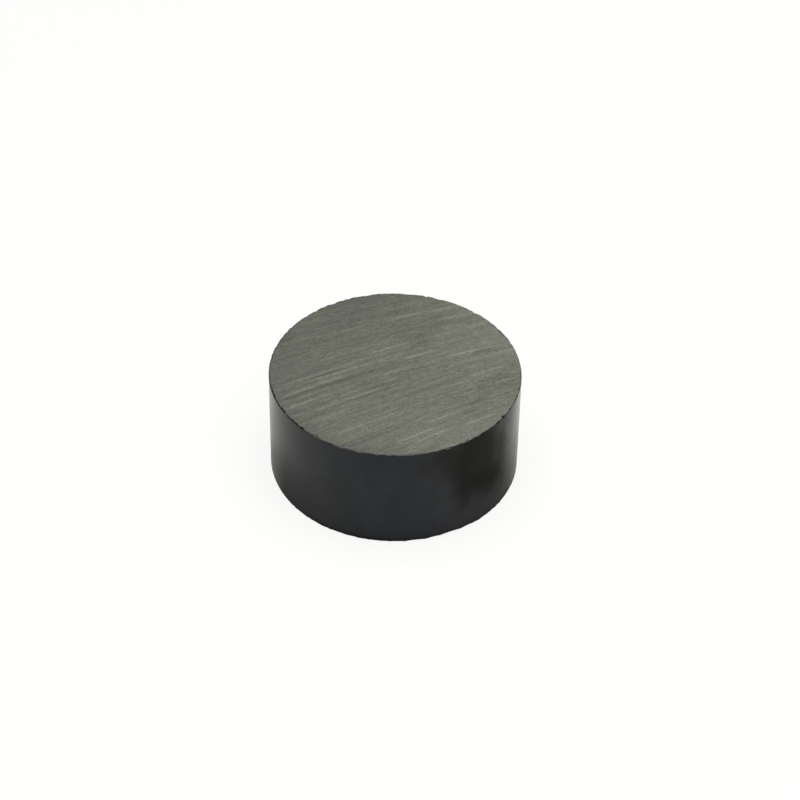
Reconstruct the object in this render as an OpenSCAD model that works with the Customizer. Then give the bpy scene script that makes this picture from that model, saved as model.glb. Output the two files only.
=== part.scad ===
// Disc magnet: one solid of hard ferrite, pressed and fired, then ground on both pole faces.
// The origin is the centre of the lower pole face, and +Z runs through the thickness.
// Azimuths turn from +X towards +Y.

/* [Disc] */
// Diameter over the fired side
disc_d = 22; // [12:0.5:40]
// Thickness between the two ground pole faces
disc_h = 10; // [4:0.5:20]

/* [Edges] */
// How far the broken edge reaches in from the side
edge_w = 0.05; // [0.03:0.01:0.3]
// How far the broken edge reaches along the side from a pole face
edge_h = 0.1; // [0.03:0.01:0.3]

/* [Chips] */
// Size of the chips in the rims, against their listed size
chip_scale = 1; // [0.7:0.1:1.6]

/* [Finish] */
// Colour of the ferrite
ferrite = "#50524d"; // ["#50524d":ground grey, "#2f3032":fired charcoal]

/* [Hidden] */

disc_r = disc_d / 2;

// Roundness of the turned body and of a chip, both well above a plain polygon
BODY_FN = 180;
CHIP_FN = 96;

// Each chip is [azimuth, length along the rim, reach across the pole face, reach along the side],
// the azimuth in degrees and the rest in millimetres
UPPER_CHIPS = [
    // Right side of the rim: one long flat chip with smaller ones before it
    [359, 1.7, 0.18, 0.06],
    [7, 0.8, 0.13, 0.06],
    [15, 0.6, 0.10, 0.06],
    [21, 1.4, 0.15, 0.07],
    [30.5, 1.9, 0.30, 0.10],
    [44, 1.4, 0.10, 0.07],
    // Back of the rim
    [68.5, 1.8, 0.20, 0.07],
    [84.5, 2.3, 0.13, 0.12],
    [104, 1.4, 0.16, 0.10],
    [113, 0.6, 0.12, 0.10],
    [122, 0.8, 0.14, 0.09],
    [134, 0.8, 0.14, 0.08],
    [145.5, 1.8, 0.24, 0.07],
    // Left side and front left
    [188, 0.7, 0.08, 0.07],
    [229, 1.7, 0.14, 0.08],
    [236.5, 0.9, 0.10, 0.08],
    [242, 0.8, 0.06, 0.11],
    [249, 0.6, 0.10, 0.08],
    // Front of the rim: a run of small scallops
    [256.5, 0.6, 0.07, 0.08],
    [264.5, 0.9, 0.10, 0.08],
    [269.5, 0.7, 0.06, 0.12],
    [279.5, 1.0, 0.08, 0.08],
    [287.5, 0.8, 0.08, 0.08],
    [292.5, 0.9, 0.06, 0.14],
    [303.5, 1.0, 0.12, 0.09],
    [310, 0.8, 0.11, 0.08],
    [318, 1.6, 0.15, 0.09],
    [331, 1.2, 0.10, 0.08],
    [342, 0.9, 0.09, 0.07],
];
LOWER_CHIPS = [
    [30, 0.8, 0.10, 0.08],
    [75, 1.3, 0.12, 0.10],
    [115, 1.1, 0.10, 0.10],
    [160, 0.9, 0.10, 0.09],
    // Low on the front: the largest chip, with flatter ones that run into it from both sides
    [280.5, 3.2, 0.13, 0.12],
    [289.5, 2.4, 0.16, 0.15],
    [296.5, 3.8, 0.22, 0.20],
    [305.5, 2.2, 0.15, 0.14],
];

// Half section of the disc, with a small flat that breaks each edge
module half_section() {
    polygon([
        [0, 0],
        [disc_r - edge_w, 0],
        [disc_r, edge_h],
        [disc_r, disc_h - edge_h],
        [disc_r - edge_w, disc_h],
        [0, disc_h],
    ]);
}

// A ball that bites a shell-shaped chip out of the sharp corner at the origin, where the material
// lies towards -X and -Z. It passes through both ends of the chip on the corner, through its
// inner edge on the pole face and through its far edge on the side.
module chip_ball(length, face_reach, side_reach) {
    half = length / 2;
    out = (half * half - face_reach * face_reach) / (2 * face_reach);
    up = (half * half - side_reach * side_reach) / (2 * side_reach);
    translate([out, 0, up])
        sphere(r = sqrt(out * out + up * up + half * half), $fn = CHIP_FN);
}

// The chips of the upper rim, at the height of the upper pole face
module upper_rim_chips(chips) {
    for (chip = chips)
        rotate([0, 0, chip[0]])
            translate([disc_r, 0, disc_h])
                chip_ball(chip[1] * chip_scale, chip[2] * chip_scale, chip[3] * chip_scale);
}

// The lower rim is the upper rim's mirror image in the disc's middle plane
module lower_rim_chips(chips) {
    translate([0, 0, disc_h])
        mirror([0, 0, 1])
            upper_rim_chips(chips);
}

// The magnet, as one solid
module magnet() {
    color(ferrite)
        difference() {
            rotate_extrude($fn = BODY_FN)
                half_section();
            upper_rim_chips(UPPER_CHIPS);
            lower_rim_chips(LOWER_CHIPS);
        }
}

magnet();
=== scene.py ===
"""Disc magnet: the ground pole faces, the fired side and the chipped rims of a ferrite disc."""

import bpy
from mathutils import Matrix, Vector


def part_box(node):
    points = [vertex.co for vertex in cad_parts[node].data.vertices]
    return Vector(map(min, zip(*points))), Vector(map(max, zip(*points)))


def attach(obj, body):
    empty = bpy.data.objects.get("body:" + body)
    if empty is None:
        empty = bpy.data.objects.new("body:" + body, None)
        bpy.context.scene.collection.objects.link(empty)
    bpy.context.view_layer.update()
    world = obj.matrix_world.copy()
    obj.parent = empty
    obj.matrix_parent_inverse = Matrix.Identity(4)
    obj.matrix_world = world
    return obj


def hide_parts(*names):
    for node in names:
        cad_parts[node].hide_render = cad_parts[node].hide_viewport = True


bl_info = {
    "name": "Disc Magnet",
    "version": (1, 0, 0),
    "blender": (4, 5, 0),
    "location": "3D View > Sidebar > Magnet",
    "description": "Builds a ground and fired ferrite disc magnet on a plain stage",
    "category": "Add Mesh",
}

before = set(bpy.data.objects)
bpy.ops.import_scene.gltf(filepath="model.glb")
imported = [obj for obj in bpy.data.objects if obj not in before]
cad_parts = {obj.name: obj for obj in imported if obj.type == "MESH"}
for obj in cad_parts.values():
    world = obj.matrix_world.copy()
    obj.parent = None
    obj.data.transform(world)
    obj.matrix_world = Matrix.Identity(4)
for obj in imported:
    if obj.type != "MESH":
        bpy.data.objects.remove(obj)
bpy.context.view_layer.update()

import cmath
import math
import random

import bmesh
import bpy
from bpy.props import FloatProperty, FloatVectorProperty, IntProperty, PointerProperty
from mathutils import Matrix, Vector, noise

MM = 0.001
NODE = "magnet"
CAD_LOW, CAD_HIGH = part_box(NODE)

# Chips of the upper and the lower rim, as in the solid: azimuth in degrees, then the length
# along the rim, the reach across the pole face and the reach along the side in millimetres.
UPPER_CHIPS = (
    (359, 1.7, 0.18, 0.06),
    (7, 0.8, 0.13, 0.06),
    (15, 0.6, 0.10, 0.06),
    (21, 1.4, 0.15, 0.07),
    (30.5, 1.9, 0.30, 0.10),
    (44, 1.4, 0.10, 0.07),
    (68.5, 1.8, 0.20, 0.07),
    (84.5, 2.3, 0.13, 0.12),
    (104, 1.4, 0.16, 0.10),
    (113, 0.6, 0.12, 0.10),
    (122, 0.8, 0.14, 0.09),
    (134, 0.8, 0.14, 0.08),
    (145.5, 1.8, 0.24, 0.07),
    (188, 0.7, 0.08, 0.07),
    (229, 1.7, 0.14, 0.08),
    (236.5, 0.9, 0.10, 0.08),
    (242, 0.8, 0.06, 0.11),
    (249, 0.6, 0.10, 0.08),
    (256.5, 0.6, 0.07, 0.08),
    (264.5, 0.9, 0.10, 0.08),
    (269.5, 0.7, 0.06, 0.12),
    (279.5, 1.0, 0.08, 0.08),
    (287.5, 0.8, 0.08, 0.08),
    (292.5, 0.9, 0.06, 0.14),
    (303.5, 1.0, 0.12, 0.09),
    (310, 0.8, 0.11, 0.08),
    (318, 1.6, 0.15, 0.09),
    (331, 1.2, 0.10, 0.08),
    (342, 0.9, 0.09, 0.07),
)
LOWER_CHIPS = (
    (30, 0.8, 0.10, 0.08),
    (75, 1.3, 0.12, 0.10),
    (115, 1.1, 0.10, 0.10),
    (160, 0.9, 0.10, 0.09),
    (280.5, 3.2, 0.13, 0.12),
    (289.5, 2.4, 0.16, 0.15),
    (296.5, 3.8, 0.22, 0.20),
    (305.5, 2.2, 0.15, 0.14),
)

# Nicks of each rim: the seed of their draws, what the number of nicks is divided by there, and
# their largest reaches, across the pole face in edge widths and along the side in edge heights
UPPER_NICKS = (31, 1, 4.4, 1.9)
LOWER_NICKS = (32, 4, 1.5, 1.3)

# Shortest and longest nick in millimetres, and the largest reach of a nick as a share of its length
NICK_LENGTHS = (0.25, 0.9)
NICK_STEEPEST = 0.4

# Grain of the broken faces of the chips: its cell, its height, and how much shallower than the
# chip's ball it may leave them
GRAIN_CELL = 0.12 * MM
GRAIN_HEIGHT = 0.006 * MM
GRAIN_RISE = 0.004 * MM

# Width of the band along the rim in which all chips and nicks lie
CHIP_BAND = 0.45 * MM

# Freshness of the listed chips of the upper rim: its mean, how far it goes up and down, and its cell
CHIP_FRESH = 0.65
CHIP_FRESH_SWING = 0.35
CHIP_FRESH_CELL = 0.8 * MM

# Waver of the broken edges: the radius in millimetres of the circle on which its noise is read, its
# cells, and the largest share by which it widens or narrows an edge
WAVER_RADIUS = 11.0
WAVER_CELLS = (0.35 * MM, 1.3 * MM)
WAVER_SHARE = 0.6

# Waves of the fired side, as (cell, depth, place in the noise), in millimetres
SIDE_WAVES = (
    (4.0, 0.010, 0.0),
    (0.9, 0.003, 7.0),
)

# Freshness of the broken edge along the upper rim: its mean, its layers as (cells in the length of
# the rim's radius, share), and its place in the noise
FRESH_MEAN = 0.4
FRESH_LAYERS = (
    (1.1, 1.6),
    (22.0, 0.7),
)
FRESH_SHIFT = Vector((22.53, -23.12, -35.13))

# Matt patch of the fired side, rougher, and with its colour a painted shade: its centre in metres,
# the scale under which the distance from the centre is taken, which makes the patch taller, the
# distances at which it is whole and gone, and how far its border wanders
SHADE_PATCH_PLACE = (0.0072, -0.0083, 0.0076)
SHADE_PATCH_SCALE = (1.0, 1.0, 0.8)
SHADE_PATCH_REACH = (1.6 * MM, 6.0 * MM)
SHADE_PATCH_WANDER = 1.0 * MM

# Low parts of the fired side, rougher and darkened as a painted shade: the distances to the left
# and right of the disc's axis over which they set in and die out again, and the heights over which
# they die out upwards
LOW_SHADE_START = (4.5 * MM, 9.2 * MM)
LOW_SHADE_END = (9.4 * MM, 11.0 * MM)
LOW_SHADE_HEIGHT = (2.0 * MM, 8.0 * MM)

# Heights over which the dark line along the foot ends, and over which the side slowly lightens
# upwards out of a painted shade
FOOT_HEIGHT = (0.20 * MM, 0.60 * MM)
RISE_HEIGHT = (0.5 * MM, 7.0 * MM)

# The mesh: vertices of the sheet's outline, how far the cuts reach in radii of the sheet, the
# distance within which a cut takes an old vertex, and those within which vertices are merged
OUTLINE_VERTICES = 480
CUT_REACH = 1.15
CUT_SNAP = 1e-8
OUTLINE_MERGE = 0.015 * MM
MERGE = 0.001 * MM

# Distances in millimetres of the pole face's last rings from the broken edge
FACE_RINGS = (0.32, 0.24, 0.17, 0.11, 0.06, 0.0)

# First step down the side, how many times longer each step is than the last, and the longest step
SIDE_STEP = 0.07 * MM
STEP_GROWTH = 1.35
LONGEST_STEP = 0.7 * MM

# Angle between faces from which their edge shows sharp
SHARP_ANGLE = math.radians(28)

# Material places on the disc
GROUND, FIRED, FRACTURE = range(3)

# Share of plain white in the floor as the camera sees it, share of it that reflections see in the
# floor and the surroundings, and strength of the light from the surroundings
FLOOR_WHITE = 0.85
MIRRORED_WHITE = 0.12
SURROUNDING_LIGHT = 0.15

# Lamps: name, width and height in metres, power in watts, and place in metres
LAMPS = (
    ("overhead", (0.5, 0.5), 3.65, (0.0, 0.0, 0.6)),
    ("side", (0.12, 0.12), 0.04, (0.069, -0.040, 0.144)),
)

# Width of the camera's sensor in millimetres, and the nearest and farthest distance that it shows,
# in metres
SENSOR_WIDTH = 36.0
CLIP = (0.01, 20.0)


# ---------------------------------------------------------------- settings

class MagnetSizes(bpy.types.PropertyGroup):
    """Sizes of the disc, its rims and its grinding marks."""

    diameter: FloatProperty(
        name="Diameter",
        description="Diameter over the fired side",
        default=CAD_HIGH.x - CAD_LOW.x,
        unit="LENGTH",
    )
    thickness: FloatProperty(
        name="Thickness",
        description="Distance between the two ground pole faces",
        default=CAD_HIGH.z - CAD_LOW.z,
        unit="LENGTH",
    )
    edge_width: FloatProperty(
        name="Edge width",
        description="Width of the broken edge across the pole face",
        default=0.05 * MM,
        unit="LENGTH",
    )
    edge_height: FloatProperty(
        name="Edge height",
        description="Height of the broken edge along the fired side",
        default=0.10 * MM,
        unit="LENGTH",
    )
    grind_angle: FloatProperty(
        name="Grinding direction",
        description="Direction of the grinding marks at the disc's centre, from +X towards +Y",
        default=math.radians(26.1),
        subtype="ANGLE",
    )
    swirl_centre: FloatVectorProperty(
        name="Swirl centre",
        description="Point beside the disc around which the grinding marks wind as spirals",
        default=(97.8 * MM, -31.2 * MM),
        subtype="XYZ",
        unit="LENGTH",
        size=2,
    )
    mark_spacing: FloatProperty(
        name="Mark spacing",
        description="Distance between neighbouring cuts of the mesh across the grinding marks",
        default=0.075 * MM,
        unit="LENGTH",
    )
    mark_length: FloatProperty(
        name="Mark step",
        description="Distance between neighbouring cuts of the mesh along the grinding marks",
        default=0.6 * MM,
        unit="LENGTH",
    )
    mark_depth: FloatProperty(
        name="Mark depth",
        description="Depth of the deepest grinding marks",
        default=0.006 * MM,
        unit="LENGTH",
    )
    nicks: IntProperty(
        name="Nicks",
        description="Number of small nicks in the upper rim; the lower one has a quarter as many",
        default=80,
        min=0,
    )


class MagnetColours(bpy.types.PropertyGroup):
    """Colours of the ferrite and of the stage."""

    ground: FloatVectorProperty(
        name="Ground face",
        description="Colour of the ground pole faces",
        default=(0.1238, 0.1293, 0.1019),
        subtype="COLOR",
        size=3,
    )
    fired: FloatVectorProperty(
        name="Fired side",
        description="Colour of the fired side",
        default=(0.0168, 0.0186, 0.0245),
        subtype="COLOR",
        size=3,
    )
    # Colour of the matt patch, a painted shade darker than the fired side
    patch_shade: FloatVectorProperty(
        name="Painted shade patch",
        description="Colour of the matt patch on the fired side",
        default=(0.0018, 0.0014, 0.0011),
        subtype="COLOR",
        size=3,
    )
    worn: FloatVectorProperty(
        name="Worn edges",
        description="Colour of the broken edges and chips where they are worn dark",
        default=(0.012, 0.012, 0.012),
        subtype="COLOR",
        size=3,
    )
    fracture: FloatVectorProperty(
        name="Fresh chips",
        description="Colour of the broken edges and chips where they are fresh",
        default=(0.110, 0.111, 0.110),
        subtype="COLOR",
        size=3,
    )
    floor: FloatVectorProperty(
        name="Floor",
        description="Colour of the floor",
        default=(0.93, 0.925, 0.84),
        subtype="COLOR",
        size=3,
    )


# ---------------------------------------------------------------- places on the disc

def face_depth(place, sizes):
    """Distance of a point below the nearer pole face."""
    return min(place.z, sizes.thickness - place.z)


def rim_inset(place, sizes):
    """Distance of a point inwards from the fired side."""
    return sizes.diameter / 2 - math.hypot(place.x, place.y)


def in_upper_half(place, sizes):
    return place.z > sizes.thickness / 2


# ---------------------------------------------------------------- grinding marks

def swirl(sizes):
    """The disc's centre seen from the swirl's, and how far the marks turn from that line."""
    centre = -complex(*sizes.swirl_centre)
    return centre, sizes.grind_angle - cmath.phase(centre)


def to_marks(x, y, sizes):
    """A plan position as distances along and across the grinding marks."""
    centre, turn = swirl(sizes)
    place = abs(centre) * cmath.log(1 + complex(x, y) / centre) * cmath.rect(1, -turn)
    return place.real, place.imag


def from_marks(along, across, sizes):
    """The plan position of distances along and across the grinding marks."""
    centre, turn = swirl(sizes)
    place = centre * (cmath.exp(complex(along, across) * cmath.rect(1, turn) / abs(centre)) - 1)
    return place.real, place.imag


# Layers of the grinding marks, as (length in mm, spacing in mm, share)
MARK_LAYERS = (
    (18.0, 0.44, 0.40),
    (7.0, 0.40, 0.28),
    (12.0, 1.00, 0.32),
)

# Scores that stand out on the upper pole face, in millimetres from its centre: their two ends
# along the marks, their place across them and their width, then how much lighter the face is
# there, or darker where it is below 0
SCORES = (
    (0.5, 4.8, 7.45, 0.55, -0.15),
    (1.6, 6.5, 6.65, 0.25, 0.45),
    (6.0, 8.8, 6.50, 0.30, 0.30),
    (-2.6, 1.4, 6.65, 0.25, 0.35),
    (5.6, 7.3, 5.60, 0.30, -0.20),
    (6.3, 9.9, 5.00, 0.30, 0.50),
    (4.6, 9.9, 4.30, 0.45, -0.20),
    (-8.2, 2.2, 3.90, 0.20, 0.30),
    (6.0, 8.5, 3.80, 0.25, 0.25),
    (3.0, 4.6, 3.50, 0.25, -0.20),
    (-1.3, 3.0, 3.05, 0.25, 0.60),
    (4.7, 7.2, 3.00, 0.25, 0.25),
    (2.5, 5.0, 2.55, 0.45, -0.20),
    (-9.9, -2.2, 2.45, 0.20, 0.45),
    (-6.5, -3.9, 2.15, 0.20, -0.40),
    (-8.0, 1.8, 1.85, 0.20, 0.30),
    (-10.2, -6.8, 1.15, 0.20, 0.75),
    (-7.0, -3.6, 1.20, 0.20, 0.30),
    (1.4, 4.4, 1.17, 0.25, 0.55),
    (-10.2, -0.3, 0.78, 0.30, -0.22),
    (8.3, 10.2, 0.55, 0.45, 0.30),
    (-1.6, 1.8, 0.00, 0.25, 0.40),
    (4.7, 8.3, -0.10, 0.25, 0.65),
    (-10.3, -7.5, -0.30, 0.25, 0.65),
    (-7.8, -3.8, -0.30, 0.20, 0.25),
    (7.3, 9.5, -0.50, 0.25, -0.35),
    (-1.5, 0.0, -0.98, 0.20, 0.40),
    (-3.4, -1.5, -1.20, 0.25, -0.20),
    (-9.0, -2.0, -1.60, 0.20, 0.30),
    (-9.0, 0.5, -1.88, 0.15, -0.20),
    (-7.3, -3.5, -2.30, 0.20, 0.25),
    (-9.5, -6.0, -2.80, 0.20, 0.30),
    (5.5, 9.9, -3.32, 0.25, 0.65),
    (-6.2, -1.4, -4.50, 0.25, 0.35),
    (5.8, 9.7, -4.60, 0.50, -0.20),
    (-8.5, -1.6, -5.08, 0.20, 0.45),
    (7.3, 9.3, -5.30, 0.20, 0.45),
    (-0.3, 1.5, -5.42, 0.20, -0.30),
    (6.0, 8.7, -6.78, 0.20, 0.30),
    (-8.4, -1.2, -6.90, 0.30, -0.25),
    (2.8, 6.0, -6.92, 0.20, -0.35),
    (-0.8, 3.0, -7.55, 0.20, 0.30),
    (2.5, 4.4, -7.95, 0.25, -0.35),
    (-4.5, -0.2, -8.48, 0.25, 0.65),
    (0.0, 2.6, -8.54, 0.20, 0.30),
    (-3.3, 1.1, -9.20, 0.20, 0.60),
    (2.0, 5.6, -9.28, 0.20, 0.45),
    # Broad faint bands
    (-1.2, 2.8, -0.55, 1.8, -0.11),
    (2.4, 7.6, 0.6, 5.0, 0.09),
    (-4.3, 0.1, -4.0, 5.0, 0.06),
    (-0.5, 8.0, 7.8, 1.8, 0.08),
    (7.4, 10.9, -4.1, 2.2, -0.10),
    (-1.5, 2.3, 1.85, 1.2, 0.09),
    (-6.2, -2.6, 0.1, 1.6, -0.08),
)

# Darker places along the upper rim: azimuth in degrees, width in mm, narrowness and strength
RIM_DARKENINGS = (
    (150, 0.22, 2, 0.50),
    (253, 1.20, 6, 0.21),
)

# Painted light on the upper pole face: the azimuth in degrees at which it is lightest at its rim, how
# much lighter it is there than midway round, and how much darker the rim is than the middle of the
# face
PAINTED_LIGHT_AZIMUTH = 335
RIM_PAINTED_LIGHT = 0.11
RIM_FALL = 0.03

# Mean tone of the pole faces, the share of their slow change, its layers as (cell in mm, share),
# and its place in the noise
FACE_TONE = 1.040
SLOW_SHARE = 0.25
SLOW_LAYERS = (
    (14.0, 1.0),
    (4.9, 0.35),
)
SLOW_SHIFT = Vector((-17.0, -22.0, 11.5))


def mark_height(along, across, upper):
    """Height of the ground surface, from -1 at its deepest marks to 0."""
    height = 0.0
    for run, spacing, share in MARK_LAYERS:
        place = Vector((along / (run * MM), across / (spacing * MM), (10.0 if upper else 0.0) + run))
        height += share * noise.noise(place)
    # Noise of about -0.55 to 0.55 is brought into the range from -1 to 0
    return max(-1.0, min(0.0, 0.9 * height - 0.5))


def score_tone(along, across):
    """How much lighter or darker the listed scores leave the upper pole face."""
    total = 0.0
    for start, end, place, width, strength in SCORES:
        aside = (across / MM - place) / (width / 2)
        reach = (2 * along / MM - start - end) / (end - start)
        if abs(aside) < 3 and abs(reach) < 1:
            total += strength * math.exp(-aside * aside) * (1 - reach ** 4)
    return total


def slow_tone(place):
    """Slow change of tone over a pole face, from about -0.6 to 0.6."""
    return sum(share * noise.noise(place / (cell * MM) + SLOW_SHIFT) for cell, share in SLOW_LAYERS)


def rim_painted_light(place, sizes):
    """Painted light on the upper pole face: lighter towards one side of its rim and darker towards
    the other, and a little darker all round the rim.
    """
    reach = (place.x ** 2 + place.y ** 2) / (sizes.diameter / 2) ** 2
    lean = math.cos(math.atan2(place.y, place.x) - math.radians(PAINTED_LIGHT_AZIMUTH))
    return reach ** 2 * (RIM_PAINTED_LIGHT * lean - RIM_FALL)


def rim_darkening(place, sizes, azimuth, width, narrowness, strength):
    """How much one darker place darkens the upper pole face; it fades out at its width from the rim.
    """
    near = max(0.0, min(1.0, 2.0 - 2.0 * rim_inset(place, sizes) / (width * MM)))
    facing = max(0.0, math.cos(math.atan2(place.y, place.x) - math.radians(azimuth)))
    return strength * near * facing ** narrowness


# ---------------------------------------------------------------- disc mesh

def boundary_edges(bm):
    return [edge for edge in bm.edges if edge.is_boundary]


def boundary_verts(bm):
    return [vert for vert in bm.verts if vert.is_boundary]


def set_radius(verts, radius):
    """Moves verts sideways onto a circle about the disc's axis."""
    for vert in verts:
        scale = radius / math.hypot(vert.co.x, vert.co.y)
        vert.co.x *= scale
        vert.co.y *= scale


def cut_sheet(bm, step, axis, reach):
    """Cuts the whole sheet at even steps along one axis."""
    count = int(reach / step)
    normal = Vector((0.0, 0.0, 0.0))
    normal[axis] = 1.0
    for index in range(-count, count + 1):
        place = normal * (index * step)
        everything = bm.verts[:] + bm.edges[:] + bm.faces[:]
        bmesh.ops.bisect_plane(bm, geom=everything, plane_co=place, plane_no=normal, dist=CUT_SNAP)


def ground_sheet(bm, radius, sizes):
    """A round sheet whose rows of faces follow the grinding marks."""
    bmesh.ops.create_circle(bm, cap_ends=True, segments=OUTLINE_VERTICES, radius=radius)
    for vert in bm.verts:
        vert.co.x, vert.co.y = to_marks(vert.co.x, vert.co.y, sizes)
    cut_sheet(bm, sizes.mark_spacing, 1, CUT_REACH * radius)
    cut_sheet(bm, sizes.mark_length, 0, CUT_REACH * radius)
    for vert in bm.verts:
        vert.co.x, vert.co.y = from_marks(vert.co.x, vert.co.y, sizes)
    set_radius(boundary_verts(bm), radius)
    bmesh.ops.remove_doubles(bm, verts=boundary_verts(bm), dist=OUTLINE_MERGE)


def half_profile(sizes):
    """Rings of the upper half outside the sheet, as (radius, depth below the pole face)."""
    radius = sizes.diameter / 2
    width, height = sizes.edge_width, sizes.edge_height
    rings = [(radius - width - inset * MM, 0.0) for inset in FACE_RINGS]
    rings += [(radius - width / 2, height / 2), (radius, height)]
    depth, step = height, SIDE_STEP
    while depth + step < sizes.thickness / 2:
        depth += step
        rings.append((radius, depth))
        step = min(step * STEP_GROWTH, LONGEST_STEP)
    rings.append((radius, sizes.thickness / 2))
    return rings


def add_rings(bm, rings, top):
    """Draws the sheet's boundary out and down through the rings."""
    edges = boundary_edges(bm)
    for radius, depth in rings:
        drawn = bmesh.ops.extrude_edge_only(bm, edges=edges)["geom"]
        verts = [item for item in drawn if isinstance(item, bmesh.types.BMVert)]
        set_radius(verts, radius)
        for vert in verts:
            vert.co.z = top - depth
        edges = [item for item in drawn if isinstance(item, bmesh.types.BMEdge) and item.is_boundary]


def mirror_half(bm, sizes):
    """Closes the disc with the upper half's mirror image."""
    middle = Matrix.Translation((0.0, 0.0, -sizes.thickness / 2))
    bmesh.ops.mirror(
        bm,
        geom=bm.verts[:] + bm.edges[:] + bm.faces[:],
        matrix=middle,
        merge_dist=MERGE,
        axis="Z",
    )
    bmesh.ops.remove_doubles(bm, verts=bm.verts, dist=MERGE)
    bmesh.ops.recalc_face_normals(bm, faces=bm.faces)


def edge_waver(place, sizes):
    """Waver of the broken edge along the rim, from -1 to 1; each rim has its own."""
    turn = Vector((place.x, place.y, 0.0)).normalized() * WAVER_RADIUS * MM
    row = Vector((0.0, 0.0, 4.0 if in_upper_half(place, sizes) else 3.0))
    # Noise of about -0.5 to 0.5 is doubled
    total = sum(2.0 * noise.noise(turn / cell + row) for cell in WAVER_CELLS)
    return max(-1.0, min(1.0, total))


def waver_edges(bm, sizes):
    """Lets the two borders of each broken edge waver along the rim."""
    radius, width, height = sizes.diameter / 2, sizes.edge_width, sizes.edge_height
    for vert in bm.verts:
        # The borders are known by their places, to a tenth of the edge's width and height
        depth, inset = face_depth(vert.co, sizes), rim_inset(vert.co, sizes)
        share = 1.0 + WAVER_SHARE * edge_waver(vert.co, sizes)
        if depth < height / 10 and abs(inset - width) < width / 10:
            set_radius([vert], radius - width * share)
        elif inset < width / 10 and abs(depth - height) < height / 10:
            drop = height * (share - 1.0)
            vert.co.z += -drop if in_upper_half(vert.co, sizes) else drop


def paint_zones(bm, sizes):
    """Gives the pole faces, the broken edges and the fired side their material places."""
    for face in bm.faces:
        depth = face_depth(face.calc_center_median(), sizes)
        if depth < sizes.edge_height / 100:
            face.material_index = GROUND
        else:
            face.material_index = FRACTURE if depth < sizes.edge_height else FIRED
        face.smooth = True


def note_freshness(bm, sizes):
    """Notes how fresh and light the broken ferrite is along the upper rim; the lower one is left
    dark.
    """
    layer = bm.verts.layers.float.new("fresh")
    for vert in bm.verts:
        if in_upper_half(vert.co, sizes):
            turn = Vector((vert.co.x, vert.co.y, 0.0)).normalized()
            waves = (share * noise.noise(turn * cells + FRESH_SHIFT) for cells, share in FRESH_LAYERS)
            vert[layer] = max(0.0, min(1.0, sum(waves, FRESH_MEAN)))


def lay_marks(bm, sizes):
    """Sinks the grinding marks into both pole faces and notes them and the tone for the colour."""
    mark = bm.verts.layers.float.new("mark")
    tone = bm.verts.layers.float.new("tone")
    for vert in bm.verts:
        if face_depth(vert.co, sizes) > sizes.edge_height / 100:
            continue
        upper = in_upper_half(vert.co, sizes)
        along, across = to_marks(vert.co.x, vert.co.y, sizes)
        height = mark_height(along, across, upper)
        vert[mark] = 1.0 + height
        vert[tone] = FACE_TONE + SLOW_SHARE * slow_tone(vert.co)
        if upper:
            # The scores are the face's own marks; the rim's tone is painted light
            vert[tone] *= 1.0 + score_tone(along, across) + rim_painted_light(vert.co, sizes)
            for darkening in RIM_DARKENINGS:
                vert[tone] *= 1.0 - rim_darkening(vert.co, sizes, *darkening)
        vert.co.z += height * sizes.mark_depth * (1.0 if upper else -1.0)


def wave_side(bm, sizes):
    """Lets the fired side wander inwards, as pressing and firing leave it."""
    for vert in bm.verts:
        if rim_inset(vert.co, sizes) > sizes.edge_width / 10:
            continue
        sink = 0.0
        for cell, depth, shift in SIDE_WAVES:
            wave = noise.noise(vert.co / (cell * MM) + Vector((shift, 0.0, 0.0)))
            sink += (0.5 + 0.5 * wave) * depth * MM
        set_radius([vert], sizes.diameter / 2 - sink)


# ---------------------------------------------------------------- chips

def chip_ball(azimuth, length, face_reach, side_reach, upper, sizes):
    """Centre and radius of the ball through a chip's two ends and its edges on face and side."""
    half = length / 2
    out = (half * half - face_reach * face_reach) / (2 * face_reach)
    rise = (half * half - side_reach * side_reach) / (2 * side_reach)
    angle = math.radians(azimuth)
    radius = sizes.diameter / 2 + out
    height = sizes.thickness + rise if upper else -rise
    ball = math.sqrt(out * out + rise * rise + half * half)
    return Vector((radius * math.cos(angle), radius * math.sin(angle), height)), ball


def rim_balls(sizes):
    """Every chip and nick of both rims, as (centre, radius, whether it is a listed chip)."""
    balls = []
    for upper, chips, (seed, part, widths, heights) in (
        (True, UPPER_CHIPS, UPPER_NICKS),
        (False, LOWER_CHIPS, LOWER_NICKS),
    ):
        for azimuth, length, face_reach, side_reach in chips:
            reaches = length * MM, face_reach * MM, side_reach * MM
            balls.append((*chip_ball(azimuth, *reaches, upper, sizes), True))
        draw = random.Random(seed)
        for _ in range(sizes.nicks // part):
            azimuth = draw.uniform(0, 360)
            length = draw.uniform(*NICK_LENGTHS) * MM
            face_reach = min(sizes.edge_width * draw.uniform(1.0, widths), NICK_STEEPEST * length)
            side_reach = min(sizes.edge_height * draw.uniform(0.9, heights), NICK_STEEPEST * length)
            balls.append((*chip_ball(azimuth, length, face_reach, side_reach, upper, sizes), False))
    return balls


def bite_chips(bm, sizes):
    """Sinks each chip into the rims and gives its faces the fracture's material place."""
    fresh = bm.verts.layers.float["fresh"]
    rim = [vert for vert in bm.verts if rim_inset(vert.co, sizes) < CHIP_BAND]
    bitten = set()
    for centre, ball, listed in rim_balls(sizes):
        for vert in rim:
            offset = vert.co - centre
            if offset.length_squared >= ball * ball:
                continue
            grain = noise.noise(vert.co / GRAIN_CELL) * GRAIN_HEIGHT
            reach = max(offset.length, ball + max(grain, -GRAIN_RISE))
            vert.co = centre + offset.normalized() * reach
            bitten.add(vert)
            if listed and in_upper_half(centre, sizes):
                vert[fresh] = CHIP_FRESH + CHIP_FRESH_SWING * noise.noise(vert.co / CHIP_FRESH_CELL)
    for face in bm.faces:
        if all(vert in bitten for vert in face.verts):
            face.material_index = FRACTURE


# ---------------------------------------------------------------- operators

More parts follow.
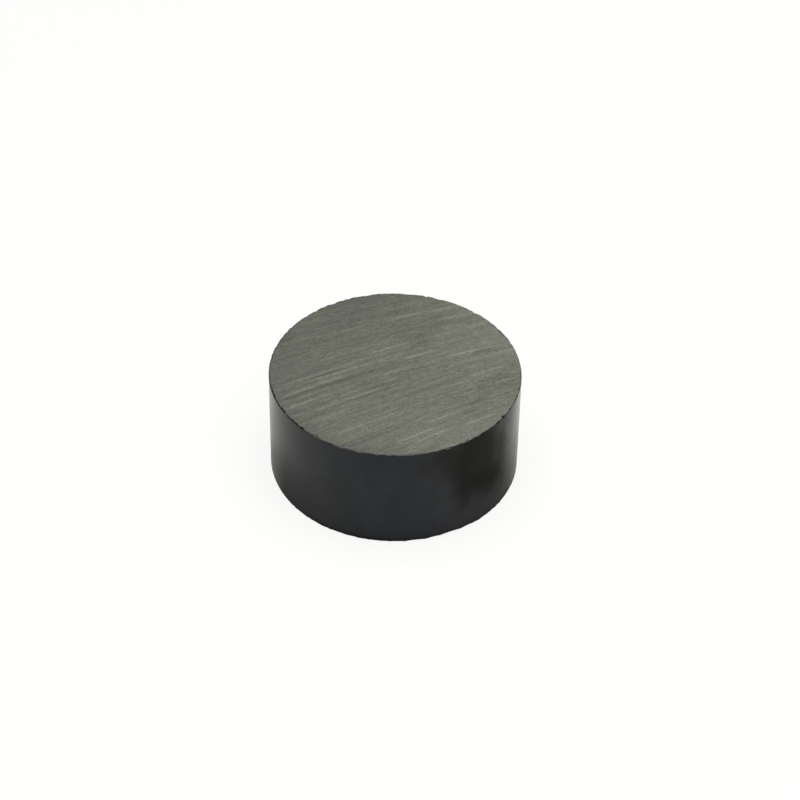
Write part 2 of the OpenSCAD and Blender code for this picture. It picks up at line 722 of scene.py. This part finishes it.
class MAGNET_OT_disc(bpy.types.Operator):
    """Build the ferrite disc with its ground faces, fired side and chipped rims"""

    bl_idname = "magnet.disc"
    bl_label = "Ferrite Disc"

    def execute(self, context):
        sizes = context.scene.magnet_sizes
        colours = context.scene.magnet_colours
        bm = bmesh.new()
        rings = half_profile(sizes)
        ground_sheet(bm, rings[0][0], sizes)
        for vert in bm.verts:
            vert.co.z = sizes.thickness
        add_rings(bm, rings[1:], sizes.thickness)
        mirror_half(bm, sizes)
        paint_zones(bm, sizes)
        note_freshness(bm, sizes)
        lay_marks(bm, sizes)
        waver_edges(bm, sizes)
        wave_side(bm, sizes)
        bite_chips(bm, sizes)
        large = [face for face in bm.faces if len(face.verts) > 4]
        bmesh.ops.triangulate(bm, faces=large)
        mesh = bpy.data.meshes.new("ferrite_disc")
        bm.to_mesh(mesh)
        bm.free()
        mesh.set_sharp_from_angle(angle=SHARP_ANGLE)
        disc = bpy.data.objects.new("ferrite_disc", mesh)
        context.scene.collection.objects.link(disc)
        for material in (
            ground_ferrite(colours.ground, sizes),
            fired_ferrite(colours.fired, colours.patch_shade),
            chipped_ferrite(colours.worn, colours.fracture),
        ):
            mesh.materials.append(material)
        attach(disc, "root")
        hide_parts(NODE)
        return {"FINISHED"}


# ---------------------------------------------------------------- materials

class Nodes:
    """The node tree of a material or a world, with short calls that add and join its nodes."""

    def __init__(self, owner, output="ShaderNodeOutputMaterial"):
        self.owner = owner
        self.owner.use_nodes = True
        self.tree = self.owner.node_tree
        self.tree.nodes.clear()
        self.output = self.tree.nodes.new(output)

    def add(self, kind, **settings):
        node = self.tree.nodes.new(kind)
        for name, value in settings.items():
            setattr(node, name, value)
        return node

    def join(self, source, target):
        self.tree.links.new(source, target)

    def feed(self, socket, value):
        """Links a socket or sets a plain value."""
        if isinstance(value, bpy.types.NodeSocket):
            self.join(value, socket)
        else:
            socket.default_value = value

    def math(self, operation, first, second=0.0):
        node = self.add("ShaderNodeMath", operation=operation)
        self.feed(node.inputs[0], first)
        self.feed(node.inputs[1], second)
        return node.outputs[0]

    def chain(self, operation, first, *others):
        """Several values added up or multiplied together."""
        for other in others:
            first = self.math(operation, first, other)
        return first

    def attribute(self, name):
        """A value noted at the mesh's vertices."""
        return self.add("ShaderNodeAttribute", attribute_name=name).outputs["Fac"]

    def position(self):
        return self.add("ShaderNodeTexCoord").outputs["Object"]

    def noise(self, vector, detail=2.0, roughness=0.5):
        node = self.add("ShaderNodeTexNoise", noise_dimensions="3D")
        node.inputs["Scale"].default_value = 1.0
        node.inputs["Detail"].default_value = detail
        node.inputs["Roughness"].default_value = roughness
        self.join(vector, node.inputs["Vector"])
        return node.outputs["Fac"]

    def scaled(self, vector, scale):
        node = self.add("ShaderNodeVectorMath", operation="MULTIPLY")
        self.join(vector, node.inputs[0])
        node.inputs[1].default_value = scale
        return node.outputs[0]

    def spread(self, value, low, high, to_low, to_high, ease="LINEAR"):
        """A value's range stretched onto another range, and held there."""
        node = self.add("ShaderNodeMapRange", clamp=True, interpolation_type=ease)
        self.join(value, node.inputs["Value"])
        for name, setting in (
            ("From Min", low),
            ("From Max", high),
            ("To Min", to_low),
            ("To Max", to_high),
        ):
            node.inputs[name].default_value = setting
        return node.outputs["Result"]

    def brighten(self, colour, factor):
        """A colour times a factor."""
        node = self.add("ShaderNodeVectorMath", operation="SCALE")
        self.feed(node.inputs[0], colour)
        self.join(factor, node.inputs["Scale"])
        return node.outputs[0]

    def bump(self, height, distance):
        node = self.add("ShaderNodeBump")
        node.inputs["Strength"].default_value = 1.0
        node.inputs["Distance"].default_value = distance
        self.join(height, node.inputs["Height"])
        return node.outputs["Normal"]

    def blend(self, factor, first, second):
        """Two colours mixed by a factor."""
        node = self.add("ShaderNodeMix", data_type="RGBA")
        self.join(factor, node.inputs["Factor"])
        node.inputs[6].default_value = (*first, 1.0)
        node.inputs[7].default_value = (*second, 1.0)
        return node.outputs[2]

    def surface(self, colour, roughness, normal, specular):
        shader = self.add("ShaderNodeBsdfPrincipled")
        self.feed(shader.inputs["Base Color"], colour)
        self.feed(shader.inputs["Roughness"], roughness)
        shader.inputs["Specular IOR Level"].default_value = specular
        self.join(normal, shader.inputs["Normal"])
        self.join(shader.outputs["BSDF"], self.output.inputs["Surface"])
        return self.owner


def mark_position(nodes, sizes):
    """Object position as (along the grinding marks, across them, height), all in metres."""
    centre, turn = swirl(sizes)
    reach = abs(centre)
    seen = nodes.add("ShaderNodeMapping", vector_type="POINT")
    seen.inputs["Rotation"].default_value = (0.0, 0.0, -cmath.phase(centre))
    seen.inputs["Location"].default_value = (reach, 0.0, 0.0)
    nodes.join(nodes.position(), seen.inputs["Vector"])
    parts = nodes.add("ShaderNodeSeparateXYZ")
    shrunk = nodes.scaled(seen.outputs["Vector"], (1 / reach, 1 / reach, 1.0))
    nodes.join(shrunk, parts.inputs["Vector"])
    out, side, height = parts.outputs
    squares = nodes.math("ADD", nodes.math("MULTIPLY", out, out), nodes.math("MULTIPLY", side, side))
    log = nodes.math("LOGARITHM", squares, math.e)
    joined = nodes.add("ShaderNodeCombineXYZ")
    nodes.join(nodes.math("MULTIPLY", log, reach / 2), joined.inputs["X"])
    nodes.join(nodes.math("MULTIPLY", nodes.math("ARCTAN2", side, out), reach), joined.inputs["Y"])
    nodes.join(height, joined.inputs["Z"])
    turned = nodes.add("ShaderNodeMapping", vector_type="POINT")
    turned.inputs["Rotation"].default_value = (0.0, 0.0, -turn)
    nodes.join(joined.outputs["Vector"], turned.inputs["Vector"])
    return turned.outputs["Vector"]


def per_mm(x, y, z):
    """Texture scale for cells of x, y and z millimetres."""
    return (1 / (x * MM), 1 / (y * MM), 1 / (z * MM))


def ground_ferrite(colour, sizes):
    """Warm grey ferrite with the wheel's marks, fine scratches and pores."""
    nodes = Nodes(bpy.data.materials.new("ground_ferrite"))
    marks = mark_position(nodes, sizes)
    lines = nodes.noise(nodes.scaled(marks, per_mm(14.0, 0.40, 3.1)), detail=2.0, roughness=0.55)
    fine = nodes.noise(nodes.scaled(marks, per_mm(3.4, 0.24, 3.0)), detail=2.0, roughness=0.6)
    dashes = nodes.noise(nodes.scaled(marks, per_mm(0.55, 0.15, 3.0)), detail=1.0)
    bright = nodes.noise(nodes.scaled(marks, per_mm(12.0, 0.32, 2.3)), detail=1.0)
    grain = nodes.noise(nodes.scaled(nodes.position(), per_mm(0.15, 0.15, 0.15)), detail=2.0)
    # Each pattern: the range of it that counts, then how bright it leaves the face at its two ends
    tone = nodes.chain(
        "MULTIPLY",
        # The noted tone holds the face's own tone and the rim's painted light
        nodes.attribute("tone"),
        nodes.spread(nodes.attribute("mark"), 0.0, 1.0, 0.92, 1.08),
        nodes.spread(lines, 0.25, 0.75, 0.90, 1.11),
        nodes.spread(fine, 0.25, 0.75, 0.86, 1.15),
        nodes.spread(dashes, 0.25, 0.75, 0.82, 1.18),
        nodes.spread(bright, 0.58, 0.74, 1.0, 1.10),
        nodes.spread(grain, 0.25, 0.75, 0.74, 1.26),
    )
    rough = nodes.spread(fine, 0.25, 0.75, 0.62, 0.48)
    relief = nodes.math("ADD", fine, nodes.math("MULTIPLY", grain, 0.35))
    normal = nodes.bump(relief, 0.004 * MM)
    return nodes.surface(nodes.brighten(colour, tone), rough, normal, specular=0.4)


def fired_ferrite(colour, patch_shade):
    """Dark satin ferrite as the kiln leaves it, with painted shade in a matt patch, on rough low
    parts and towards the foot, and a dark foot.
    """
    nodes = Nodes(bpy.data.materials.new("fired_ferrite"))
    place = nodes.position()
    grain = nodes.noise(nodes.scaled(place, per_mm(0.09, 0.09, 0.09)), detail=3.0, roughness=0.6)
    cloud = nodes.noise(nodes.scaled(place, per_mm(2.6, 2.6, 3.4)), detail=3.0)
    drag = nodes.noise(nodes.scaled(place, per_mm(0.25, 0.25, 6.0)), detail=2.0)
    parts = nodes.add("ShaderNodeSeparateXYZ")
    nodes.join(place, parts.inputs["Vector"])
    aside = nodes.math("ABSOLUTE", parts.outputs["X"])
    height = parts.outputs["Z"]
    patch = nodes.add("ShaderNodeVectorMath", operation="DISTANCE")
    nodes.join(nodes.scaled(place, SHADE_PATCH_SCALE), patch.inputs[0])
    patch.inputs[1].default_value = [size * scale for size, scale in zip(SHADE_PATCH_PLACE, SHADE_PATCH_SCALE)]
    wander = nodes.spread(cloud, 0.3, 0.7, -SHADE_PATCH_WANDER, SHADE_PATCH_WANDER)
    edge = nodes.math("ADD", patch.outputs["Value"], wander)
    # Mask of the matt patch, which is rougher and whose colour is a painted shade
    matt_and_shade = nodes.spread(edge, *SHADE_PATCH_REACH, 1.0, 0.0, "SMOOTHSTEP")
    # Low parts to the left and right: rougher, and darkened as a painted shade
    dull_and_shade = nodes.chain(
        "MULTIPLY",
        nodes.spread(aside, *LOW_SHADE_START, 0.0, 1.0, "SMOOTHSTEP"),
        nodes.spread(aside, *LOW_SHADE_END, 1.0, 0.0, "SMOOTHSTEP"),
        nodes.spread(height, *LOW_SHADE_HEIGHT, 1.0, 0.0, "SMOOTHSTEP"),
    )
    # Each pattern or place: the range of it that counts, then the brightness at its two ends
    tone = nodes.chain(
        "MULTIPLY",
        nodes.spread(cloud, 0.3, 0.7, 0.82, 1.18),
        nodes.spread(grain, 0.3, 0.7, 0.84, 1.16),
        # Painted shade: the side darker towards the floor and lighter upwards
        nodes.spread(height, *RISE_HEIGHT, 0.92, 1.08),
        nodes.spread(height, *FOOT_HEIGHT, 0.20, 1.0),
        # Painted shade of the low parts to the left and right
        nodes.spread(dull_and_shade, 0.0, 1.0, 1.0, 0.35),
    )
    # The same ranges, then what each adds to the roughness
    rough = nodes.chain(
        "ADD",
        nodes.spread(cloud, 0.3, 0.7, 0.15, 0.24),
        nodes.spread(drag, 0.3, 0.7, -0.015, 0.015),
        nodes.spread(matt_and_shade, 0.0, 1.0, 0.0, 0.45),
        nodes.spread(dull_and_shade, 0.0, 1.0, 0.0, 0.22),
        nodes.spread(height, *RISE_HEIGHT, 0.09, 0.0),
    )
    normal = nodes.bump(grain, 0.0014 * MM)
    # The matt patch takes the painted shade's colour
    shade = nodes.blend(matt_and_shade, colour, patch_shade)
    return nodes.surface(nodes.brighten(shade, tone), rough, normal, specular=0.15)


def chipped_ferrite(worn, fresh):
    """Granular ferrite of the broken edges and the chips, light where it is fresh."""
    nodes = Nodes(bpy.data.materials.new("chipped_ferrite"))
    place = nodes.position()
    share = nodes.attribute("fresh")
    grain = nodes.noise(nodes.scaled(place, per_mm(0.07, 0.07, 0.07)), detail=3.0, roughness=0.65)
    tone = nodes.spread(grain, 0.3, 0.7, 0.75, 1.25)
    normal = nodes.bump(grain, 0.008 * MM)
    shade = nodes.brighten(nodes.blend(share, worn, fresh), tone)
    return nodes.surface(shade, roughness=0.5, normal=normal, specular=0.15)


def white_share(nodes, seen):
    """Share of plain white that shows: `seen` to the camera, and a small one in reflections."""
    path = nodes.add("ShaderNodeLightPath")
    glossy, clear = path.outputs["Is Glossy Ray"], path.outputs["Is Transmission Ray"]
    mirrored = nodes.math("MULTIPLY", nodes.math("MAXIMUM", glossy, clear), MIRRORED_WHITE)
    straight = nodes.math("MULTIPLY", path.outputs["Is Camera Ray"], seen)
    return nodes.math("MAXIMUM", straight, mirrored)


def stage_floor(colour):
    """Pale floor that shows nearly white, and keeps the disc's shadow."""
    nodes = Nodes(bpy.data.materials.new("stage_floor"))
    diffuse = nodes.add("ShaderNodeBsdfDiffuse")
    nodes.feed(diffuse.inputs["Color"], (*colour, 1.0))
    glow = nodes.add("ShaderNodeEmission")
    mix = nodes.add("ShaderNodeMixShader")
    nodes.join(white_share(nodes, FLOOR_WHITE), mix.inputs["Fac"])
    nodes.join(diffuse.outputs["BSDF"], mix.inputs[1])
    nodes.join(glow.outputs["Emission"], mix.inputs[2])
    nodes.join(mix.outputs["Shader"], nodes.output.inputs["Surface"])
    return nodes.owner


def white_surroundings(strength):
    """World that gives a little white light all round, and shows white."""
    nodes = Nodes(bpy.data.worlds.new("surroundings"), "ShaderNodeOutputWorld")
    background = nodes.add("ShaderNodeBackground")
    background.inputs["Color"].default_value = (1.0, 1.0, 1.0, 1.0)
    share = nodes.spread(white_share(nodes, 1.0), 0.0, 1.0, strength, 1.0)
    nodes.join(share, background.inputs["Strength"])
    nodes.join(background.outputs["Background"], nodes.output.inputs["Surface"])
    return nodes.owner


# ---------------------------------------------------------------- stage

class MagnetStage(bpy.types.PropertyGroup):
    """Camera and floor."""

    elevation: FloatProperty(
        name="Camera elevation",
        description="Angle at which the camera looks down on the disc",
        default=math.radians(40.74),
        subtype="ANGLE",
    )
    distance: FloatProperty(
        name="Camera distance",
        description="Distance from the disc's centre to the camera, in diameters",
        default=9.690,
    )
    lens: FloatProperty(
        name="Lens",
        description="Focal length in millimetres for a 36 mm wide sensor",
        default=108.73,
    )
    aim_right: FloatProperty(
        name="Aim right",
        description="How far right of the disc's centre the camera aims, in diameters",
        default=0.02097,
    )
    aim_up: FloatProperty(
        name="Aim up",
        description="How far above the disc's centre the camera aims, in diameters",
        default=0.0582,
    )
    roll: FloatProperty(
        name="Camera roll",
        description="Turn of the camera about its own line of sight",
        default=math.radians(-0.937),
        subtype="ANGLE",
    )
    floor_size: FloatProperty(
        name="Floor size",
        description="Width of the floor",
        default=3.0,
        unit="LENGTH",
    )


def camera_matrix(stage, sizes):
    """Where the camera stands and looks."""
    level, rise = math.cos(stage.elevation), math.sin(stage.elevation)
    sight = Vector((0.0, level, -rise))
    upwards = Vector((0.0, rise, level))
    centre = Vector((0.0, 0.0, sizes.thickness / 2))
    eye = centre - sight * stage.distance * sizes.diameter
    aside = Vector((stage.aim_right * sizes.diameter, 0.0, 0.0))
    aim = centre + aside + upwards * stage.aim_up * sizes.diameter
    forward = (aim - eye).normalized()
    right = forward.cross(Vector((0.0, 0.0, 1.0))).normalized()
    right = Matrix.Rotation(stage.roll, 3, forward) @ right
    up = right.cross(forward)
    axes = Matrix((right, up, -forward)).transposed().to_4x4()
    return Matrix.Translation(eye) @ axes


def add_camera(scene, stage, sizes):
    data = bpy.data.cameras.new("camera")
    data.lens = stage.lens
    data.sensor_width = SENSOR_WIDTH
    data.clip_start, data.clip_end = CLIP
    camera = bpy.data.objects.new("camera", data)
    scene.collection.objects.link(camera)
    camera.matrix_world = camera_matrix(stage, sizes)
    scene.camera = camera


def add_lamp(scene, name, sizes, power, place):
    """A soft rectangular lamp at place that shines on the disc."""
    data = bpy.data.lights.new(name, "AREA")
    data.shape = "RECTANGLE"
    data.size, data.size_y = sizes
    data.energy = power
    lamp = bpy.data.objects.new(name, data)
    scene.collection.objects.link(lamp)
    lamp.location = place
    lamp.rotation_euler = Vector(place).to_track_quat("Z", "Y").to_euler()


class MAGNET_OT_stage(bpy.types.Operator):
    """Set up the floor, the lamps, the surroundings and the camera"""

    bl_idname = "magnet.stage"
    bl_label = "Stage"

    def execute(self, context):
        scene = context.scene
        stage, sizes, colours = scene.magnet_stage, scene.magnet_sizes, scene.magnet_colours
        add_camera(scene, stage, sizes)
        bm = bmesh.new()
        bmesh.ops.create_grid(bm, x_segments=1, y_segments=1, size=stage.floor_size / 2)
        mesh = bpy.data.meshes.new("floor")
        bm.to_mesh(mesh)
        bm.free()
        floor = bpy.data.objects.new("floor", mesh)
        scene.collection.objects.link(floor)
        mesh.materials.append(stage_floor(colours.floor))
        for lamp in LAMPS:
            add_lamp(scene, *lamp)
        scene.world = white_surroundings(SURROUNDING_LIGHT)
        scene.view_settings.view_transform = "Standard"
        return {"FINISHED"}


class MAGNET_PT_panel(bpy.types.Panel):
    """Lists the magnet's pieces and settings"""

    bl_idname = "MAGNET_PT_panel"
    bl_label = "Disc Magnet"
    bl_space_type = "VIEW_3D"
    bl_region_type = "UI"
    bl_category = "Magnet"

    def draw(self, context):
        layout = self.layout
        layout.operator(MAGNET_OT_disc.bl_idname)
        layout.operator(MAGNET_OT_stage.bl_idname)
        for settings in (
            context.scene.magnet_sizes,
            context.scene.magnet_colours,
            context.scene.magnet_stage,
        ):
            box = layout.box()
            for name in settings.bl_rna.properties.keys():
                if name not in ("rna_type", "name"):
                    box.prop(settings, name)


CLASSES = (
    MagnetSizes,
    MagnetColours,
    MagnetStage,
    MAGNET_OT_disc,
    MAGNET_OT_stage,
    MAGNET_PT_panel,
)


def register():
    for item in CLASSES:
        bpy.utils.register_class(item)
    bpy.types.Scene.magnet_sizes = PointerProperty(type=MagnetSizes)
    bpy.types.Scene.magnet_colours = PointerProperty(type=MagnetColours)
    bpy.types.Scene.magnet_stage = PointerProperty(type=MagnetStage)


def unregister():
    del bpy.types.Scene.magnet_stage
    del bpy.types.Scene.magnet_colours
    del bpy.types.Scene.magnet_sizes
    for item in reversed(CLASSES):
        bpy.utils.unregister_class(item)


def main():
    register()
    bpy.ops.magnet.disc()
    bpy.ops.magnet.stage()


if __name__ == "__main__":
    main()
